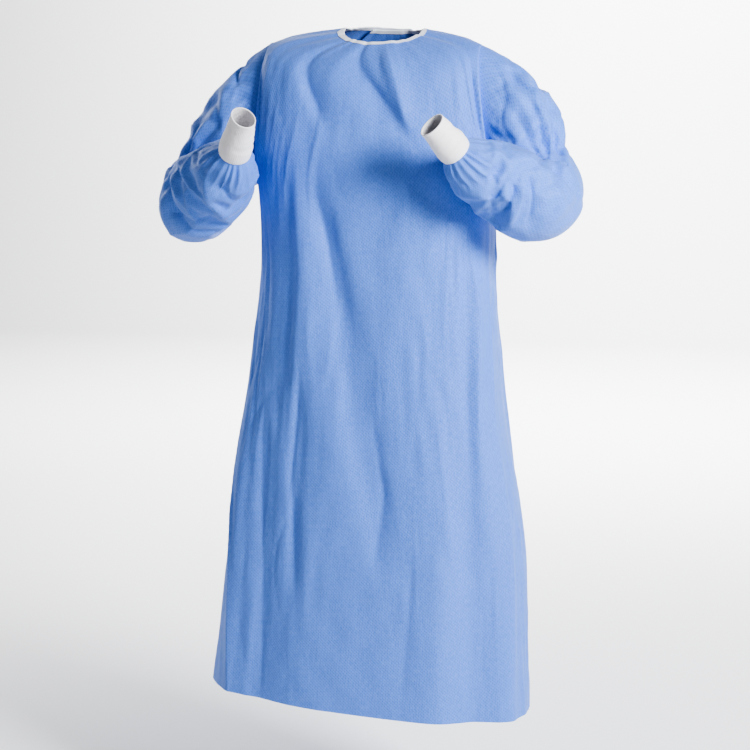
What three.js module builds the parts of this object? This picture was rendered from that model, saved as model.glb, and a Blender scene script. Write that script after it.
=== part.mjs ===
// Surgical gown in its worn shape, with no wearer: a blue nonwoven front and two backs that wrap
// over each other, set-in sleeves gathered into white knitted cuffs, a white neck binding and a
// waist tie knotted behind. Millimetres, +Z up, front towards -Y, the wearer's left towards +X.
// The origin is at the base of the neck, between the shoulders that carry the gown.
import * as THREE from "three";

// Driving dimensions
const CLOTH = 1.5; // wall of the nonwoven cloth
const KNIT = 2; // wall of the knitted cuffs
const TAPE = 1; // wall of the neck binding and of the waist tie
const SEAM_GAP = 0.3; // between the pieces that a seam joins
const OVERLAP_SHARE = 0.3; // how far each back runs past the middle, as a share of half the back
const OVERLAP_LIFT = 7; // how far the outer back stands off the inner one
const SHOULDER_TILT = 0.03; // rise towards the wearer's right, per millimetre across
const HEM_TILT = 0.05;
const SHOULDER_JOINT = { x: 190, y: 5, z: -70 };
const ELBOW_ROUND = 52; // radius of the sleeve's middle line round the elbow
const SHOULDER_SHARE = 0.34; // share of the sleeve that turns round the shoulder
const CUFF_RUN = 70; // length over which the forearm swings into line with the cuff
const GATHER_START = 0.86; // share of the sleeve where the gathers begin
const GATHER_DEPTH = 4;
const SEWN_GATHER_DEPTH = 1.4; // what is left of the gathers where the cuff is sewn on

// Grid of the body: columns from side to side, rows from the hem to the neck
const FRONT_COLUMNS = 24;
const BACK_COLUMNS = 14; // of one back, from its side seam to its free edge
const ARMHOLE_ROWS = 14; // also half the points round a sleeve, and the number of its gathers

// The body's sections below the arms, hem first: level, middle of the section, half its width, how
// far it reaches in front and behind, where the side seam lies, how square it is (1 is an ellipse,
// less is fuller at the corners), and rows of cloth up to the next.
const SKIRT = [
  { z: -1206, middle: -13, half: 299, front: 138, back: 160, side: 10, square: 0.87, rows: 2 },
  { z: -1080, middle: -7, half: 289, front: 134, back: 158, side: 10, square: 0.87, rows: 3 },
  { z: -910, middle: 0, half: 274, front: 130, back: 152, side: 8, square: 0.87, rows: 2 },
  { z: -790, middle: -2, half: 260, front: 129, back: 146, side: 7, square: 0.86, rows: 2 },
  { z: -666, middle: -1, half: 237, front: 128, back: 138, side: 6, square: 0.84, rows: 3 },
  { z: -425, middle: 6, half: 210, front: 130, back: 116, side: 4, square: 0.78, rows: 1 },
  { z: -393, middle: 7, half: 208, front: 131, back: 114, side: 4, square: 0.76, rows: 2 },
  { z: -258, middle: 6, half: 212, front: 138, back: 118, side: 2, square: 0.68, rows: 0 },
];
const TIE_SECTION = SKIRT.findIndex((section) => section.z === -425);
const TIE_ROW = SKIRT.slice(0, TIE_SECTION).reduce((sum, section) => sum + section.rows, 0);

// The armhole, an upright oval from the underarm to the shoulder tip: its reach in front and behind,
// how far it lies from the body's middle at its foot and its top, and the squareness beside it.
const ARMHOLE = { front: 72, back: 76, low: 212, high: 191, square: 0.88 };

// The yoke's rows from the shoulder tip to the neck: end of the row on the shoulder seam, and the
// row's lowest points at the middle of the front and of the back. Scoop is 1 where a row hangs in a
// round loop and 0 where it lies over the shoulder. The last two rows bound the neck binding.
const YOKE = [
  { middle: 2, half: 191, seamY: 4, seamZ: -22, frontY: -114, frontZ: -80, backY: 106, backZ: -54, scoop: 0 },
  { middle: 5, half: 160, seamY: 5, seamZ: -10, frontY: -102, frontZ: -62, backY: 97, backZ: -36, scoop: 0.2 },
  { middle: 9, half: 124, seamY: 6, seamZ: -2, frontY: -87, frontZ: -46, backY: 86, backZ: -18, scoop: 0.5 },
  { middle: 15, half: 84, seamY: 8, seamZ: 4, frontY: -69, frontZ: -32, backY: 74, backZ: -3, scoop: 0.9 },
  { middle: 16, half: 72, seamY: 8, seamZ: 6, frontY: -61, frontZ: -24, backY: 66, backZ: 6, scoop: 1 },
];

// Folds of the body as soft ridges, or troughs where the depth is negative. Each runs straight from
// a place to a place, given by degrees round the body from the middle of the front towards the
// wearer's left, and by level.
const BODY_FOLDS = [
  { fromAngle: -38, fromZ: -34, toAngle: -18, toZ: -122, width: 16, depth: -5 },
  { fromAngle: -8, fromZ: -48, toAngle: 12, toZ: -103, width: 16, depth: -5 },
  { fromAngle: 14, fromZ: -48, toAngle: 22, toZ: -127, width: 16, depth: 4 },
  { fromAngle: 64, fromZ: -66, toAngle: 68, toZ: -150, width: 15, depth: -4 },
  { fromAngle: -24, fromZ: -290, toAngle: -25, toZ: -611, width: 22, depth: 7 },
  { fromAngle: -14, fromZ: -299, toAngle: -6, toZ: -465, width: 20, depth: -6 },
  { fromAngle: -6, fromZ: -465, toAngle: 4, toZ: -622, width: 20, depth: -7 },
  { fromAngle: 4, fromZ: -622, toAngle: 10, toZ: -854, width: 20, depth: -6 },
  { fromAngle: -22, fromZ: -640, toAngle: -26, toZ: -938, width: 18, depth: -6 },
  { fromAngle: -42, fromZ: -690, toAngle: -32, toZ: -1206, width: 30, depth: -11 },
  { fromAngle: -64, fromZ: -660, toAngle: -52, toZ: -1206, width: 32, depth: 9 },
  { fromAngle: 62, fromZ: -417, toAngle: 52, toZ: -816, width: 24, depth: 6 },
  { fromAngle: 28, fromZ: -900, toAngle: 26, toZ: -1206, width: 34, depth: 7 },
  { fromAngle: 46, fromZ: -860, toAngle: 44, toZ: -1206, width: 30, depth: -7 },
  { fromAngle: 116, fromZ: -440, toAngle: 121, toZ: -1206, width: 34, depth: 12 },
  { fromAngle: 138, fromZ: -450, toAngle: 145, toZ: -1206, width: 32, depth: -12 },
  { fromAngle: 160, fromZ: -520, toAngle: 164, toZ: -1206, width: 28, depth: 8 },
  { fromAngle: -110, fromZ: -440, toAngle: -116, toZ: -1206, width: 34, depth: -10 },
  { fromAngle: -132, fromZ: -450, toAngle: -138, toZ: -1206, width: 34, depth: 12 },
  { fromAngle: -158, fromZ: -480, toAngle: -161, toZ: -1206, width: 30, depth: -9 },
  { fromAngle: 122, fromZ: -375, toAngle: 136, toZ: -210, width: 24, depth: 6 },
  { fromAngle: 146, fromZ: -375, toAngle: 154, toZ: -240, width: 22, depth: -5 },
  { fromAngle: -120, fromZ: -375, toAngle: -134, toZ: -200, width: 24, depth: 6 },
  { fromAngle: -142, fromZ: -375, toAngle: -152, toZ: -250, width: 22, depth: -5 },
];
const FOLD_MM_PER_DEGREE = 3.6;

// The arms: corner of the elbow, seam of the cuff, middle of the cuff's mouth, and how far the
// sleeve stands out and up over the shoulder.
const ARMS = [
  {
    name: "left",
    sign: 1,
    elbow: [332, -30, -320],
    wrist: [185, -205, -212],
    mouth: [155, -243, -172],
    crownOut: 65,
    crownUp: 21,
  },
  {
    name: "right",
    sign: -1,
    elbow: [-335, -30, -315],
    wrist: [-178, -250, -212],
    mouth: [-146, -300, -160],
    crownOut: 22,
    crownUp: 31,
  },
];

// The sleeve's sections by share of its length: reach to the sides, to the inside of the elbow and
// to its outside, and rings of cloth up to the next.
const SLEEVE = [
  { share: 0, side: 100, inner: 82, outer: 82, rings: 4 },
  { share: 0.17, side: 84, inner: 78, outer: 80, rings: 3 },
  { share: SHOULDER_SHARE, side: 68, inner: 52, outer: 72, rings: 4 },
  { share: 0.45, side: 72, inner: 32, outer: 84, rings: 4 },
  { share: 0.55, side: 70, inner: 46, outer: 78, rings: 3 },
  { share: 0.72, side: 64, inner: 58, outer: 64, rings: 3 },
  { share: 0.88, side: 50, inner: 50, outer: 50, rings: 2 },
  { share: 0.95, side: 38, inner: 38, outer: 38, rings: 2 },
  { share: 1, side: 26.5, inner: 26.5, outer: 26.5, rings: 0 },
];

// Folds of both sleeves, spread from the inside of the elbow: share of the sleeve, and degrees from
// the inside of the elbow up over the arm, below nought under it.
const SLEEVE_FOLDS = [
  { fromShare: 0.41, fromAngle: 55, toShare: 0.22, toAngle: 100, width: 15, depth: -6 },
  { fromShare: 0.43, fromAngle: 70, toShare: 0.33, toAngle: 125, width: 15, depth: 5 },
  { fromShare: 0.455, fromAngle: 64, toShare: 0.455, toAngle: 140, width: 13, depth: -6 },
  { fromShare: 0.485, fromAngle: 70, toShare: 0.57, toAngle: 125, width: 15, depth: 5 },
  { fromShare: 0.52, fromAngle: 55, toShare: 0.68, toAngle: 95, width: 15, depth: -5 },
  { fromShare: 0.4, fromAngle: -58, toShare: 0.3, toAngle: -95, width: 14, depth: -5 },
  { fromShare: 0.44, fromAngle: -66, toShare: 0.42, toAngle: -120, width: 15, depth: 4 },
  { fromShare: 0.5, fromAngle: -62, toShare: 0.54, toAngle: -125, width: 14, depth: -5 },
  { fromShare: 0.66, fromAngle: -60, toShare: 0.84, toAngle: -20, width: 15, depth: -4 },
  { fromShare: 0.7, fromAngle: 150, toShare: 0.86, toAngle: 110, width: 15, depth: -4 },
];
const SLEEVE_LENGTH = 480;
const SLEEVE_MM_PER_DEGREE = 1.1;

// The cuffs' sections by share of their length: half the wide and half the narrow way across.
const CUFF = [
  { share: 0, wide: 25, narrow: 25, rings: 1 },
  { share: 0.15, wide: 27, narrow: 26, rings: 1 },
  { share: 0.3, wide: 24.8, narrow: 23.8, rings: 1 },
  { share: 0.45, wide: 26, narrow: 24.4, rings: 1 },
  { share: 0.6, wide: 23.6, narrow: 21.8, rings: 1 },
  { share: 0.75, wide: 24.4, narrow: 21.6, rings: 1 },
  { share: 0.88, wide: 22.8, narrow: 19.8, rings: 1 },
  { share: 1, wide: 23.4, narrow: 19.6, rings: 0 },
];
const CUFF_WIDE_ANGLE = 120; // degrees from the underarm line to the cuff's wide way

const MATERIALS = {
  blue: new THREE.MeshStandardMaterial({ color: 0x7c9fdb, roughness: 0.8, metalness: 0 }),
  knit: new THREE.MeshStandardMaterial({ color: 0xf3f2f4, roughness: 0.95, metalness: 0 }),
  tape: new THREE.MeshStandardMaterial({ color: 0xe9edf6, roughness: 0.85, metalness: 0 }),
};

const lerp = THREE.MathUtils.lerp;
const smoothstep = THREE.MathUtils.smoothstep;
const vector = (x, y, z) => new THREE.Vector3(x, y, z);
const moved = (point, direction, distance) => point.clone().addScaledVector(direction, distance);

// A table's columns at a place between two of its rows, on a curve through the rows around it.
function between(table, row, share, columns) {
  const at = (index) => table[Math.min(Math.max(index, 0), table.length - 1)];
  const result = {};
  for (const column of columns) {
    const [before, start, end, after] = [-1, 0, 1, 2].map((step) => at(row + step)[column]);
    const enter = (end - before) / 2;
    const leave = (after - start) / 2;
    const rise = end - start;
    result[column] =
      start + share * (enter + share * (3 * rise - 2 * enter - leave + share * (enter + leave - 2 * rise)));
  }
  return result;
}

// A table's columns at a share of the whole, where the table has a share column.
function atShare(table, share, columns) {
  let row = 0;
  while (row < table.length - 2 && table[row + 1].share < share) row += 1;
  const part = (share - table[row].share) / (table[row + 1].share - table[row].share);
  return between(table, row, part, columns);
}

// The body's rows on one face: where a row ends at the side, and its middle.
function bodyRows(face) {
  const front = face === "front";
  const columns = ["z", "middle", "half", "front", "back", "side", "square"];
  const rows = [];
  SKIRT.forEach((section, index) => {
    for (let step = 0; step < section.rows; step += 1) {
      const cut = between(SKIRT, index, step / section.rows, columns);
      const reach = front ? -cut.front : cut.back;
      rows.push({ ...cut, endY: cut.side, endZ: cut.z, midY: reach, midZ: cut.z, scoop: 0 });
    }
  });
  const chest = SKIRT[SKIRT.length - 1];
  const tip = YOKE[0];
  for (let step = 0; step < ARMHOLE_ROWS; step += 1) {
    const share = step / ARMHOLE_ROWS;
    const angle = Math.PI * (share - 0.5);
    const rise = (1 + Math.sin(angle)) / 2;
    const reach = front ? -ARMHOLE.front : ARMHOLE.back;
    rows.push({
      middle: lerp(chest.middle, tip.middle, share),
      half: lerp(ARMHOLE.low, ARMHOLE.high, rise),
      endY: lerp(chest.side, tip.seamY, rise) + reach * Math.cos(angle),
      endZ: lerp(chest.z, tip.seamZ, rise),
      midY: lerp(front ? -chest.front : chest.back, front ? tip.frontY : tip.backY, share * share),
      midZ: lerp(chest.z, front ? tip.frontZ : tip.backZ, share),
      square: lerp(chest.square, ARMHOLE.square, smoothstep(share, 0, 0.5)),
      scoop: 0,
    });
  }
  for (const row of YOKE) {
    rows.push({
      middle: row.middle,
      half: row.half,
      endY: row.seamY,
      endZ: row.seamZ,
      midY: front ? row.frontY : row.backY,
      midZ: front ? row.frontZ : row.backZ,
      square: ARMHOLE.square,
      scoop: row.scoop,
    });
  }
  return rows;
}
const UNDERARM_ROW = SKIRT.reduce((sum, section) => sum + section.rows, 0);
const SHOULDER_ROW = UNDERARM_ROW + ARMHOLE_ROWS;

// A point of a row: across is -1 at the wearer's right side and 1 at the left.
function rowPoint(row, across) {
  const turn = (Math.PI / 2) * Math.abs(across);
  const round = 1 - Math.max(Math.cos(turn), 0) ** row.square;
  const x = row.middle + Math.sign(across) * row.half * Math.sin(turn) ** row.square;
  const level = lerp(row.midZ, row.endZ, lerp(Math.sin(turn) ** 2, round, row.scoop));
  const tilt = lerp(SHOULDER_TILT, HEM_TILT, smoothstep(-level, 600, 1206));
  return vector(x, lerp(row.midY, row.endY, round), level - tilt * x);
}

// How far the folds move the cloth out at a place of the unrolled cloth, in millimetres.
function foldDepth(folds, across, level) {
  let depth = 0;
  for (const fold of folds) {
    const runX = fold.toX - fold.fromX;
    const runY = fold.toY - fold.fromY;
    const share = ((across - fold.fromX) * runX + (level - fold.fromY) * runY) / (runX * runX + runY * runY);
    const nearest = THREE.MathUtils.clamp(share, 0, 1);
    const away = Math.hypot(across - fold.fromX - nearest * runX, level - fold.fromY - nearest * runY);
    depth += fold.depth * Math.exp(-((away / fold.width) ** 2));
  }
  return depth;
}
const sleeveFolds = SLEEVE_FOLDS.map((fold) => ({
  fromX: fold.fromAngle * SLEEVE_MM_PER_DEGREE,
  fromY: fold.fromShare * SLEEVE_LENGTH,
  toX: fold.toAngle * SLEEVE_MM_PER_DEGREE,
  toY: fold.toShare * SLEEVE_LENGTH,
  width: fold.width,
  depth: fold.depth,
}));
const bodyFolds = BODY_FOLDS.map((fold) => ({
  fromX: fold.fromAngle * FOLD_MM_PER_DEGREE,
  fromY: fold.fromZ,
  toX: fold.toAngle * FOLD_MM_PER_DEGREE,
  toY: fold.toZ,
  width: fold.width,
  depth: fold.depth,
}));

// Outward directions at the points of a grid. facing is 1 where columns crossed with rows point out.
function gridNormals(points, closed, facing) {
  const lastRow = points.length - 1;
  const columns = points[0].length;
  return points.map((row, i) =>
    row.map((_, j) => {
      const before = closed ? (j + columns - 1) % columns : Math.max(j - 1, 0);
      const after = closed ? (j + 1) % columns : Math.min(j + 1, columns - 1);
      const along = row[after].clone().sub(row[before]);
      const up = points[Math.min(i + 1, lastRow)][j].clone().sub(points[Math.max(i - 1, 0)][j]);
      return along.cross(up).multiplyScalar(facing).normalize();
    }),
  );
}

// Points moved along their own directions by one distance.
function lifted(points, normals, distance) {
  return points.map((row, i) => row.map((point, j) => moved(point, normals[i][j], distance)));
}

// A closed wall between an outer and an inner grid of points. Quads are split from the first corner,
// and before the given column from the second, so that a strip can match the cloth it lies on.
function wallGeometry(outer, inner, closed, facing, splitFrom = 0) {
  const rows = outer.length;
  const columns = outer[0].length;
  const count = rows * columns;
  const positions = [...outer.flat(), ...inner.flat()].flatMap((point) => point.toArray());
  const triangles = [];
  const quad = (a, b, c, d) => {
    if (facing > 0) triangles.push(a, b, c, a, c, d);
    else triangles.push(a, c, b, a, d, c);
  };
  const lastColumn = closed ? columns : columns - 1;
  for (let i = 0; i < rows - 1; i += 1) {
    for (let j = 0; j < lastColumn; j += 1) {
      const next = (j + 1) % columns;
      const [a, b] = [i * columns + j, i * columns + next];
      const [d, c] = [a + columns, b + columns];
      const [p, q, r, s] = j < splitFrom ? [b, c, d, a] : [a, b, c, d];
      quad(p, q, r, s);
      quad(p + count, s + count, r + count, q + count);
    }
  }
  for (let j = 0; j < lastColumn; j += 1) {
    const next = (j + 1) % columns;
    const top = (rows - 1) * columns;
    quad(j + count, next + count, next, j);
    quad(top + j, top + next, top + next + count, top + j + count);
  }
  for (let i = 0; !closed && i < rows - 1; i += 1) {
    const [low, high] = [i * columns, (i + 1) * columns];
    const end = columns - 1;
    quad(low, high, high + count, low + count);
    quad(low + end + count, high + end + count, high + end, low + end);
  }
  const geometry = new THREE.BufferGeometry();
  geometry.setAttribute("position", new THREE.Float32BufferAttribute(positions, 3));
  geometry.setIndex(triangles);
  geometry.computeVertexNormals();
  return geometry;
}

function piece(name, geometry, material) {
  const mesh = new THREE.Mesh(geometry, material);
  mesh.name = name;
  return mesh;
}

// A panel of the body as its outer points and outward directions. Columns run so that rows and
// columns face out. Both sides of a seam share one direction and keep half a gap each.
function bodyPanel(face, acrossAt, columns, lift) {
  const front = face === "front";
  const acrosses = Array.from({ length: columns + 1 }, (_, j) => acrossAt(j / columns));
  const grid = bodyRows(face).map((row) => acrosses.map((across) => rowPoint(row, across)));
  const outwards = (points) => {
    const normals = gridNormals(points, false, 1);
    normals.forEach((row, i) =>
      row.forEach((normal, j) => {
        const onSeam = Math.abs(acrosses[j]) === 1 && (i <= UNDERARM_ROW || i >= SHOULDER_ROW);
        if (onSeam) normal.setY(0).normalize();
      }),
    );
    return normals;
  };
  const smooth = outwards(grid);
  const points = grid.map((row, i) =>
    row.map((point, j) => {
      const across = acrosses[j];
      const angle = front ? 90 * across : Math.sign(across || 1) * (180 - 90 * Math.abs(across));
      const out = foldDepth(bodyFolds, angle * FOLD_MM_PER_DEGREE, point.z) + lift(across);
      const place = moved(point, smooth[i][j], out);
      if (Math.abs(across) === 1) place.y += (front ? -1 : 1) * (SEAM_GAP / 2);
      return place;
    }),
  );
  return { points, normals: outwards(points), acrosses };
}

const panelWall = (panel) =>
  wallGeometry(panel.points, lifted(panel.points, panel.normals, -CLOTH), false, 1);

const frontPanel = bodyPanel("front", (share) => 2 * share - 1, FRONT_COLUMNS, () => 0);
const outerLift = (across) => OVERLAP_LIFT * smoothstep(across, -0.8, -OVERLAP_SHARE);
const backReach = 1 + OVERLAP_SHARE;
const leftBack = bodyPanel("back", (share) => 1 - backReach * share, BACK_COLUMNS, () => 0);
const rightBack = bodyPanel("back", (share) => -1 + backReach * (1 - share), BACK_COLUMNS, outerLift);

// The bent arm below the shoulder: its middle line over the elbow to the cuff's seam, and the
// directions of its first section towards the body, towards the front and into the elbow.
function armLine(arm) {
  const joint = vector(arm.sign * SHOULDER_JOINT.x, SHOULDER_JOINT.y, SHOULDER_JOINT.z);
  const elbow = vector(...arm.elbow);
  const wrist = vector(...arm.wrist);
  const upper = elbow.clone().sub(joint).normalize();
  const fore = wrist.clone().sub(elbow).normalize();
  const cuff = vector(...arm.mouth).sub(wrist).normalize();
  const turn = upper.angleTo(fore);
  const cut = ELBOW_ROUND * Math.tan(turn / 2);
  const handle = (4 / 3) * ELBOW_ROUND * Math.tan(turn / 4);
  const start = moved(elbow, upper, -cut);
  const end = moved(elbow, fore, cut);
  const path = new THREE.CurvePath();
  path.add(new THREE.CubicBezierCurve3(start, moved(start, upper, handle), moved(end, fore, -handle), end));
  path.add(new THREE.CubicBezierCurve3(end, moved(end, fore, CUFF_RUN), moved(wrist, cuff, -CUFF_RUN), wrist));
  const inwards = vector(-arm.sign, 0, 0).projectOnPlane(upper).normalize();
  const front = upper.clone().cross(inwards).multiplyScalar(-arm.sign);
  const bend = fore.clone().sub(upper);
  const crease = Math.atan2(bend.dot(front), bend.dot(inwards));
  return { path, start, heading: upper, inwards, front, crease };
}

// The frames of a sleeve's sections. Round the shoulder they open like a fan between a short line
// under the arm and a long one over the shoulder; below it they follow the arm.
function sleeveFrames(line, shares, ring, arm) {
  const reach = SLEEVE.find((section) => section.share === SHOULDER_SHARE).side;
  const underStart = ring[0];
  const overStart = ring[ARMHOLE_ROWS];
  const underEnd = moved(line.start, line.inwards, reach);
  const overEnd = moved(line.start, line.inwards, -reach);
  const crown = overStart.clone().lerp(overEnd, 0.5).add(vector(arm.sign * arm.crownOut, 0, arm.crownUp));
  const over = new THREE.QuadraticBezierCurve3(overStart, crown, overEnd);
  let { heading, inwards, front } = line;
  return shares.map((share) => {
    if (share < SHOULDER_SHARE) {
      const part = share / SHOULDER_SHARE;
      const low = underStart.clone().lerp(underEnd, part);
      const high = over.getPoint(part);
      const down = low.clone().sub(high);
      const fanInwards = down.clone().normalize();
      const fanFront = vector(0, -1, 0).lerp(line.front, part).projectOnPlane(fanInwards).normalize();
      const fanHeading = fanInwards.clone().cross(fanFront).multiplyScalar(-arm.sign);
      const half = down.length() / 2;
      return { middle: low.lerp(high, 0.5), heading: fanHeading, inwards: fanInwards, front: fanFront, half };
    }
    const part = (share - SHOULDER_SHARE) / (1 - SHOULDER_SHARE);
    const tangent = part === 0 ? heading.clone() : line.path.getTangentAt(part).normalize();
    const turn = new THREE.Quaternion().setFromUnitVectors(heading, tangent);
    heading = tangent;
    inwards = inwards.clone().applyQuaternion(turn);
    front = front.clone().applyQuaternion(turn);
    return { middle: line.path.getPointAt(part), heading, inwards, front };
  });
}

// The places of a table's rings, as shares of the whole length.
function ringShares(table) {
  const shares = [];
  table.forEach((section, index) => {
    for (let step = 0; step < section.rings; step += 1) {
      shares.push(lerp(section.share, table[index + 1].share, step / section.rings));
    }
  });
  return [...shares, 1];
}

// The armhole's edge as a ring: from the underarm up the front to the shoulder and down the back.
function armholeRing(arm) {
  const frontEdge = arm.sign > 0 ? FRONT_COLUMNS : 0;
  const back = arm.sign > 0 ? leftBack : rightBack;
  const backEdge = arm.sign > 0 ? 0 : BACK_COLUMNS;
  const ring = [];
  for (let step = 0; step < 2 * ARMHOLE_ROWS; step += 1) {
    const rise = step <= ARMHOLE_ROWS ? step : 2 * ARMHOLE_ROWS - step;
    const row = UNDERARM_ROW + rise;
    const onFront = frontPanel.points[row][frontEdge];
    const onBack = back.points[row][backEdge];
    const atSeam = rise === 0 || rise === ARMHOLE_ROWS;
    const toBack = atSeam ? 0.5 : Number(step > ARMHOLE_ROWS);
    ring.push(onFront.clone().lerp(onBack, toBack).add(vector(arm.sign * SEAM_GAP, 0, 0)));
  }
  return ring;
}

const RING_POINTS = 2 * ARMHOLE_ROWS;
const ringAngle = (j) => (2 * Math.PI * j) / RING_POINTS;

// A sleeve as its outer points and outward directions, ring by ring.
function sleeveTube(arm) {
  const shares = ringShares(SLEEVE);
  const root = armholeRing(arm);
  const line = armLine(arm);
  const frames = sleeveFrames(line, shares, root, arm);
  const start = frames[0];
  const points = shares.map((share, k) => {
    const { middle, inwards, front, heading, half } = frames[k];
    const cut = atShare(SLEEVE, share, ["side", "inner", "outer"]);
    const keep = 1 - smoothstep(share, 0, SHOULDER_SHARE);
    const crease = lerp(line.crease, Math.PI / 2, keep);
    const gather =
      GATHER_DEPTH * smoothstep(share, GATHER_START, 0.95) -
      (GATHER_DEPTH - SEWN_GATHER_DEPTH) * smoothstep(share, 0.95, 1);
    return root.map((edge, j) => {
      const angle = ringAngle(j) - crease;
      const bendwards = Math.cos(angle) * (Math.cos(angle) > 0 ? cut.inner : cut.outer);
      const sideways = Math.sin(angle) * (half ?? cut.side);
      const turned = THREE.MathUtils.euclideanModulo(THREE.MathUtils.radToDeg(angle) + 180, 360) - 180;
      const fold = foldDepth(sleeveFolds, turned * SLEEVE_MM_PER_DEGREE, share * SLEEVE_LENGTH);
      const wave = (j % 2 === 0 ? 1 : -1) * gather + fold;
      const [creaseX, creaseY] = [Math.cos(crease), Math.sin(crease)];
      const ringX = bendwards * creaseX - sideways * creaseY + wave * Math.cos(ringAngle(j));
      const ringY = bendwards * creaseY + sideways * creaseX + wave * Math.sin(ringAngle(j));
      const flare = (half ?? cut.side) / start.half;
      const offset = edge.clone().sub(start.middle);
      return middle
        .clone()
        .addScaledVector(inwards, lerp(ringX, offset.dot(start.inwards) * flare, keep))
        .addScaledVector(front, lerp(ringY, offset.dot(start.front), keep))
        .addScaledVector(heading, keep * offset.dot(start.heading));
    });
  });
  const normals = gridNormals(points, true, -arm.sign);
  const end = frames[frames.length - 1];
  normals[0].forEach((normal) => normal.setX(0).normalize());
  normals[normals.length - 1].forEach((normal) => normal.projectOnPlane(end.heading).normalize());
  return { points, normals, end };
}

// A knitted cuff, sewn to the sleeve's end.
function cuffTube(arm, end) {
  const wrist = vector(...arm.wrist);
  const run = vector(...arm.mouth).sub(wrist);
  const wideAngle = THREE.MathUtils.degToRad(CUFF_WIDE_ANGLE);
  const points = ringShares(CUFF).map((share) => {
    const cut = atShare(CUFF, share, ["wide", "narrow"]);
    const middle = moved(wrist, end.heading, SEAM_GAP).addScaledVector(run, share);
    return Array.from({ length: RING_POINTS }, (_, j) => {
      const angle = ringAngle(j) - wideAngle;
      const [wideWay, narrowWay] = [cut.wide * Math.cos(angle), cut.narrow * Math.sin(angle)];
      const x = wideWay * Math.cos(wideAngle) - narrowWay * Math.sin(wideAngle);
      const y = wideWay * Math.sin(wideAngle) + narrowWay * Math.cos(wideAngle);
      return middle.clone().addScaledVector(end.inwards, x).addScaledVector(end.front, y);
    });
  });
  return { points, normals: gridNormals(points, true, -arm.sign) };
}

const tubeWall = (tube, thickness, arm) =>
  wallGeometry(tube.points, lifted(tube.points, tube.normals, -thickness), true, -arm.sign);

// The neck binding: a tape folded over the neck edge, made from the panels' last two rows.
function neckBinding() {
  const station = (panel, column) => {
    const top = panel.points.length - 1;
    const [edge, below] = [panel.points[top][column], panel.points[top - 1][column]];
    const [edgeOut, belowOut] = [panel.normals[top][column], panel.normals[top - 1][column]];
    const upwards = edge.clone().sub(below).normalize();
    const around = (gap) => [
      moved(below, belowOut, gap),
      moved(edge, edgeOut, gap).addScaledVector(upwards, SEAM_GAP),
      moved(edge, edgeOut, -CLOTH / 2).addScaledVector(upwards, gap + SEAM_GAP),
      moved(edge, edgeOut, -CLOTH - gap).addScaledVector(upwards, SEAM_GAP),
      moved(below, belowOut, -CLOTH - gap),
    ];
    return { outer: around(SEAM_GAP + TAPE), inner: around(SEAM_GAP) };
  };
  const stations = [];
  for (let j = BACK_COLUMNS; j > 0; j -= 1) stations.push(station(leftBack, j));
  for (let j = FRONT_COLUMNS; j >= 0; j -= 1) stations.push(station(frontPanel, j));
  for (let j = BACK_COLUMNS - 1; j >= 0; j -= 1) stations.push(station(rightBack, j));
  return wallGeometry(
    stations.map((each) => each.outer),
    stations.map((each) => each.inner),
    false,
    1,
    1,
  );
}

// The waist tie: a strap along each back, a flat bow where they meet and two ends hanging from it.
// All lie on the backs, on points of theirs moved out.
const BOW = { from: 2, to: 5, loop: 11, middle: 7, pinch: 0.45 }; // columns of the outer back, heights
const TIE_ENDS = [
  { name: "left", column: 2, rows: 4 },
  { name: "right", column: 4, rows: 3 },
];
const END_SHARES = [0.14, 0.86]; // the part of a column that an end covers
const END_LIFT = 2; // how far the ends hang off the cloth

// A point of a panel, moved out by the lift.
function onPanel(panel, row, column, lift) {
  return moved(panel.points[row][column], panel.normals[row][column], lift);
}

// A strap through stations that each give its two edges at a height above the cloth.
function strap(stations) {
  return wallGeometry(
    stations.map((station) => station(TAPE)),
    stations.map((station) => station(0)),
    false,
    -1,
  );
}

function tieLeft() {
  const stations = [];
  for (let j = 1; leftBack.acrosses[j] > OVERLAP_SHARE; j += 1) {
    const lift = SEAM_GAP + OVERLAP_LIFT * (1 - smoothstep(leftBack.acrosses[j], OVERLAP_SHARE + 0.06, 0.85));
    stations.push((out) => [TIE_ROW, TIE_ROW + 1].map((row) => onPanel(leftBack, row, j, lift + out)));
  }
  for (let j = 0; j <= BOW.from; j += 1) {
    stations.push((out) => [TIE_ROW, TIE_ROW + 1].map((row) => onPanel(rightBack, row, j, SEAM_GAP + out)));
  }
  return strap(stations);
}

function tieRight() {
  const stations = [];
  for (let j = BACK_COLUMNS - 1; j >= BOW.to; j -= 1) {
    stations.push((out) => [TIE_ROW + 1, TIE_ROW].map((row) => onPanel(rightBack, row, j, SEAM_GAP + out)));
  }
  return strap(stations);
}

// An end of the tie, hanging from the bow.
function tieEnd(end) {
  const stations = [];
  for (let row = TIE_ROW; row >= TIE_ROW - end.rows; row -= 1) {
    stations.push((out) => {
      const [start, stop] = [0, 1].map((step) => onPanel(rightBack, row, end.column + step, END_LIFT + out));
      const drop = row === TIE_ROW ? SEAM_GAP : 0;
      const level = (share) => lerp(start.z, stop.z, share) - drop;
      return END_SHARES.map((share) => start.clone().lerp(stop, share).setZ(level(share)));
    });
  }
  return strap(stations);
}

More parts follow.
